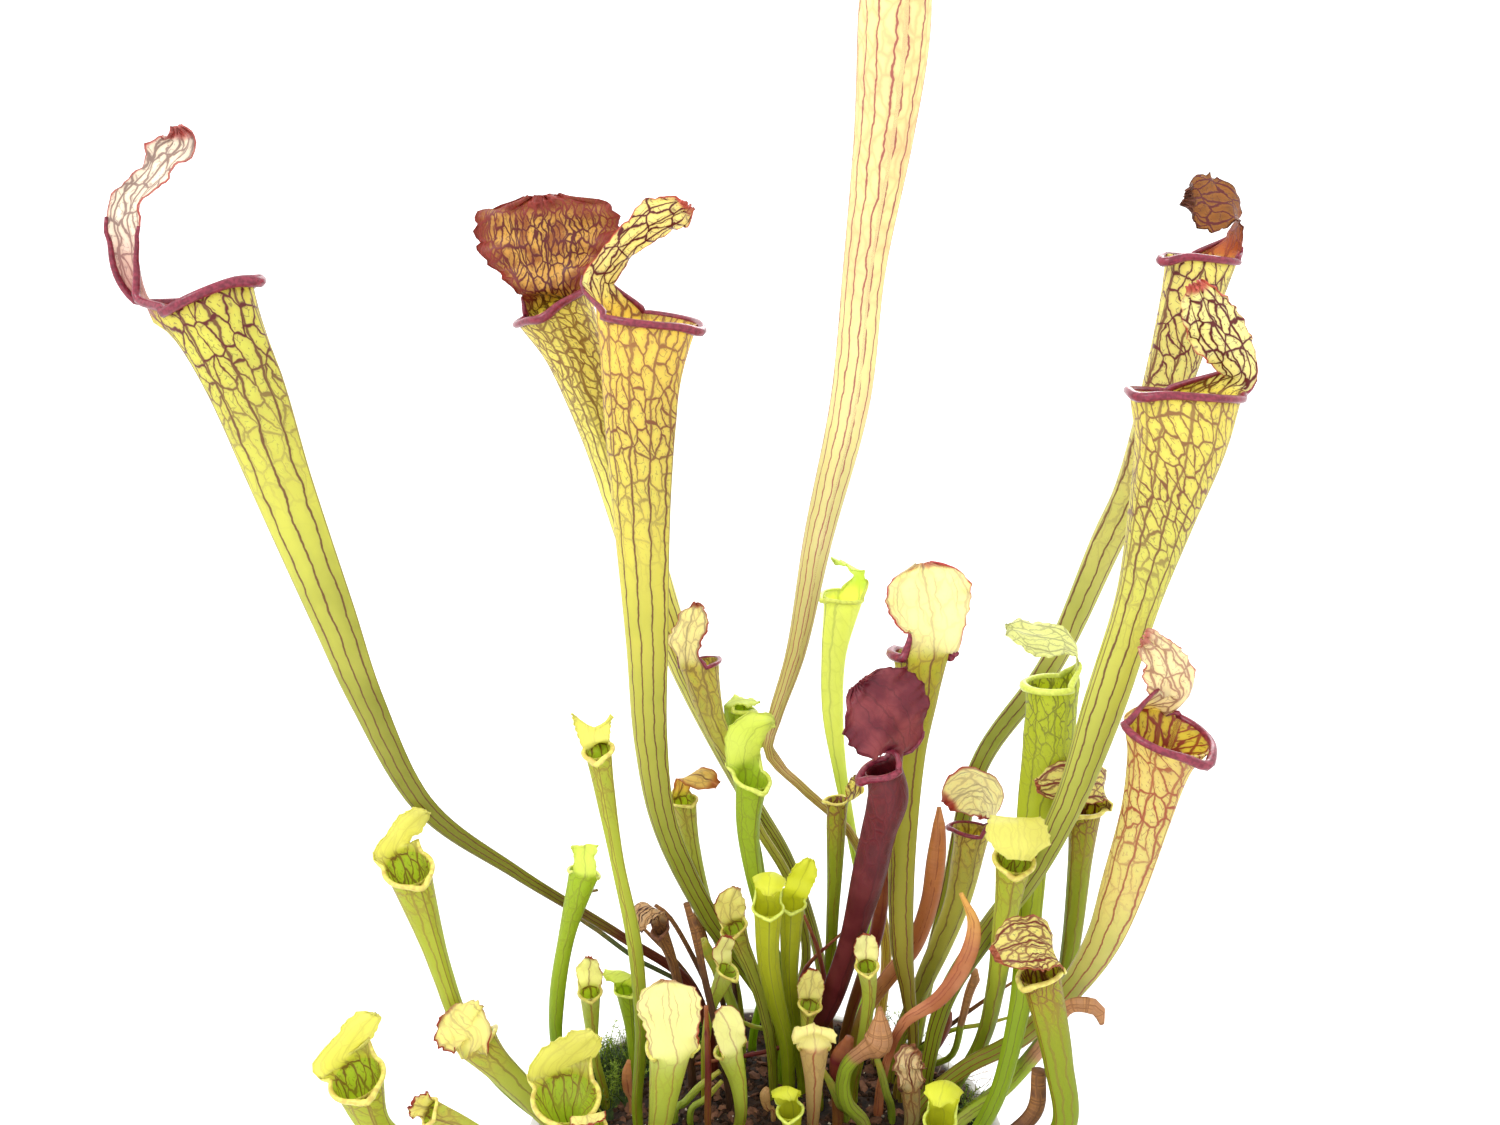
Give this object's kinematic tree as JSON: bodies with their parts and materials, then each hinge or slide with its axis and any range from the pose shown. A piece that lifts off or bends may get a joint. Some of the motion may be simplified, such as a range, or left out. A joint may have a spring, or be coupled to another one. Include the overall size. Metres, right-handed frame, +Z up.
{
  "type": "potted hybrid pitcher plant",
  "caption": "Hybrid trumpet pitcher plant: a clump of tall and short lidded pitcher leaves rising from potting mix in a plain round plastic pot.",
  "frame": {"origin": "centre of the pot's flat underside", "axes": "+Z up along the pot's axis, +X to the viewer's right as seen from the front, +Y away from the viewer"},
  "size_m": [0.3336, 0.155, 0.5252],
  "materials": {
    "pot_plastic": "satin moulded plastic",
    "potting_mix": "damp peat with bark and grit",
    "moss": "soft feathery moss",
    "leaf_yellow": "waxy translucent leaf, dark red net of veins on yellow-green",
    "leaf_green": "waxy translucent leaf, green with fine lines",
    "leaf_red": "waxy dark red leaf",
    "leaf_orange": "waxy salmon-orange leaf",
    "leaf_dead": "dry withered leaf"
  },
  "bodies": {
    "root": {"pitcher_tall_left": "leaf_yellow", "pitcher_tall_behind": "leaf_yellow", "pitcher_tall_middle": "leaf_yellow", "pitcher_tallest": "leaf_yellow", "pitcher_right_back": "leaf_green", "pitcher_right_front": "leaf_yellow", "pitcher_right_wide": "leaf_yellow", "pitcher_green_right": "leaf_green", "pitcher_olive_back": "leaf_green", "pitcher_red": "leaf_red", "pitcher_pale_far": "leaf_green", "pitcher_fanned_far": "leaf_yellow", "pitcher_hooded_far": "leaf_green", "pitcher_hooded_middle": "leaf_yellow", "pitcher_yellow_right": "leaf_yellow", "pitcher_pale_right": "leaf_yellow", "pitcher_veined_right": "leaf_yellow", "pitcher_veined_front": "leaf_yellow", "pitcher_horned": "leaf_yellow", "pitcher_left_mouth": "leaf_yellow", "pitcher_left_low": "leaf_yellow", "pitcher_left_end": "leaf_yellow", "pitcher_wide_mouth": "leaf_yellow", "pitcher_front_back_view": "leaf_yellow", "pitcher_orange_lid": "leaf_yellow", "pitcher_small_hood_left": "leaf_green", "pitcher_tiny_left": "leaf_yellow", "pitcher_round_lid": "leaf_yellow", "pitcher_small_front": "leaf_yellow", "pitcher_small_curved": "leaf_yellow", "pitcher_small_left_one": "leaf_yellow", "pitcher_small_left_two": "leaf_green", "pitcher_red_edged": "leaf_yellow", "pitcher_pair_left": "leaf_yellow", "pitcher_pair_right": "leaf_yellow", "pitcher_small_lidded": "leaf_yellow", "pitcher_small_upright": "leaf_yellow", "pitcher_slender_far": "leaf_yellow", "pitcher_cream_lid": "leaf_yellow", "pitcher_bright_yellow": "leaf_yellow", "pitcher_bright_hood": "leaf_green", "pitcher_young_left": "leaf_green", "pitcher_young_middle": "leaf_yellow", "pitcher_young_right": "leaf_green", "leaf_orange_curved": "leaf_orange", "pitcher_unopened_orange": "leaf_orange", "tube_maroon_far": "leaf_red", "tube_cut_open": "leaf_dead", "stalk_red_brown": "leaf_dead", "leaf_withered_tip": "leaf_dead", "leaf_withered_cone": "leaf_dead", "stub_brown_right": "leaf_dead", "stalk_dead_middle": "leaf_dead", "stalk_maroon_low": "leaf_red", "pitcher_dead_tan": "leaf_dead", "pitcher_dried_cream": "leaf_dead", "pot": "pot_plastic", "potting_mix": "potting_mix", "moss_front": "moss"}
  },
  "joints": []
}
